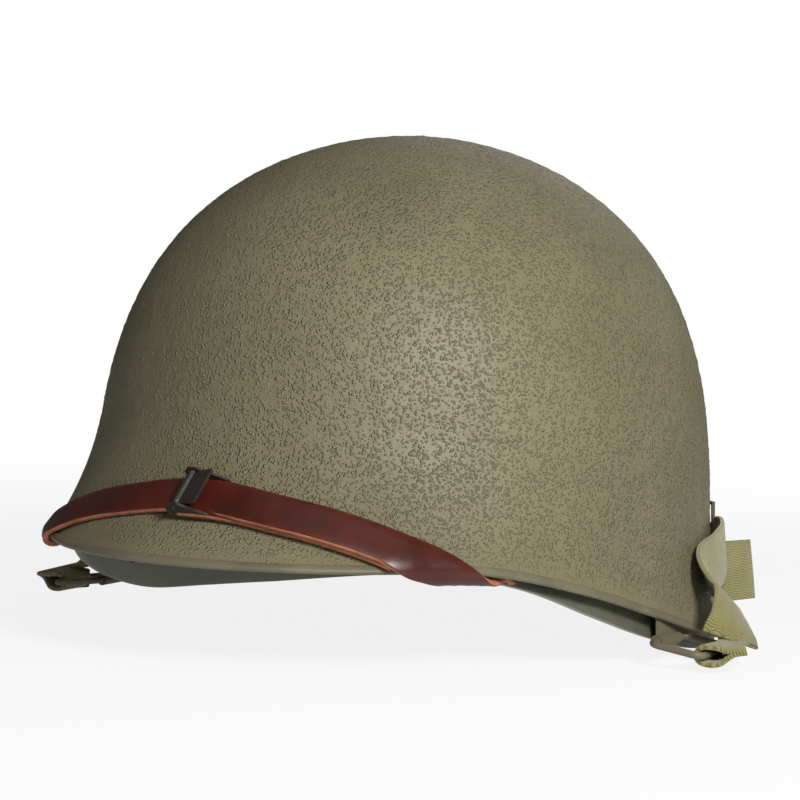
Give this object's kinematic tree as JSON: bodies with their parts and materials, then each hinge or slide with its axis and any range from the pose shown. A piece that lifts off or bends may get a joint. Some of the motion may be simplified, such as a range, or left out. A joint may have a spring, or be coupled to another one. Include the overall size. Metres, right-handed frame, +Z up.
{
  "type": "steel pot helmet",
  "caption": "Olive steel pot helmet with its nested liner, web suspension, swinging bales, hooked web straps and a leather strap over the brim.",
  "frame": {"origin": "on the ground under the middle of the dome, between the side studs and the centre of the crown", "axes": "+Z up; -Y to the wearer's front, where the brim is; +X to the wearer's left"},
  "size_m": [0.272, 0.2885, 0.1813],
  "materials": {
    "olive_steel": "matt olive drab with cork grain",
    "olive_wire": "matt olive drab",
    "liner_green": "smooth satin grey-green",
    "webbing": "woven khaki cotton",
    "cord": "braided khaki cord",
    "sweat_leather": "smooth brown leather",
    "strap_leather": "worn dark red-brown leather",
    "gunmetal": "blackened, worn bright on edges",
    "olive_fittings": "matt dark olive",
    "plain_wire": "dull steel"
  },
  "bodies": {
    "liner": {"liner_shell": "liner_green", "front_eyelet": "olive_fittings", "suspension_band": "webbing", "crown_lace": "cord", "a_washers": "olive_fittings", "suspension_rivets": "olive_fittings", "sweatband": "sweat_leather", "sweatband_clips": "plain_wire", "sweatband_buckle": "plain_wire", "nape_strap": "webbing", "nape_snaps": "olive_fittings", "chin_stud_left": "olive_fittings", "chin_stud_right": "olive_fittings", "crown_strap_front_left": "webbing", "crown_strap_side_left": "webbing", "crown_strap_rear_left": "webbing", "crown_strap_rear_right": "webbing", "crown_strap_side_right": "webbing", "crown_strap_front_right": "webbing"},
    "pot": {"steel_shell": "olive_steel", "rim_band": "olive_steel", "bale_bracket_left": "olive_steel", "bale_bracket_right": "olive_steel", "web_strap_left": "webbing", "web_strap_right": "webbing", "web_buckle": "olive_fittings", "web_hook": "olive_fittings", "web_tip": "olive_fittings"},
    "left_bale": {"bale_left": "olive_wire"},
    "right_bale": {"bale_right": "olive_wire"},
    "chin_strap": {"leather_strap": "strap_leather", "strap_end_left": "gunmetal", "strap_end_right": "gunmetal"},
    "buckle": {"strap_buckle": "gunmetal", "buckle_pin": "gunmetal"},
    "lever": {"buckle_lever": "gunmetal"}
  },
  "joints": [
    {"name": "pot_lift", "type": "slide", "parent": "liner", "child": "pot", "axis": [0, 0, 1], "range_m": [0, 0.21]},
    {"name": "strap_swing", "type": "hinge", "parent": "liner", "child": "chin_strap", "pos_m": [0, -0.016, 0.0205], "axis": [1, 0, 0], "range_deg": [0, 118], "deforming": ["leather_strap"]},
    {"name": "buckle_slide", "type": "hinge", "parent": "chin_strap", "child": "buckle", "pos_m": [0, -0.0629, -0.0251], "axis": [0, 0.6972, 0.7169], "range_deg": [-14, 0]},
    {"name": "lever_turn", "type": "hinge", "parent": "buckle", "child": "lever", "pos_m": [-0.0042, -0.14592, 0.05565], "axis": [0, -0.6972, -0.7169], "range_deg": [-19, 75]},
    {"name": "bale_swing_left", "type": "hinge", "parent": "pot", "child": "left_bale", "pos_m": [0.11382, -0.03, 0.0081], "axis": [0.0908, 0.9959, 0], "range_deg": [-5, 20], "deforming": ["web_strap_left"]},
    {"name": "bale_swing_right", "type": "hinge", "parent": "pot", "child": "right_bale", "pos_m": [-0.11382, -0.03, 0.0081], "axis": [0.0908, -0.9959, 0], "range_deg": [-5, 20], "deforming": ["web_strap_right"]}
  ]
}
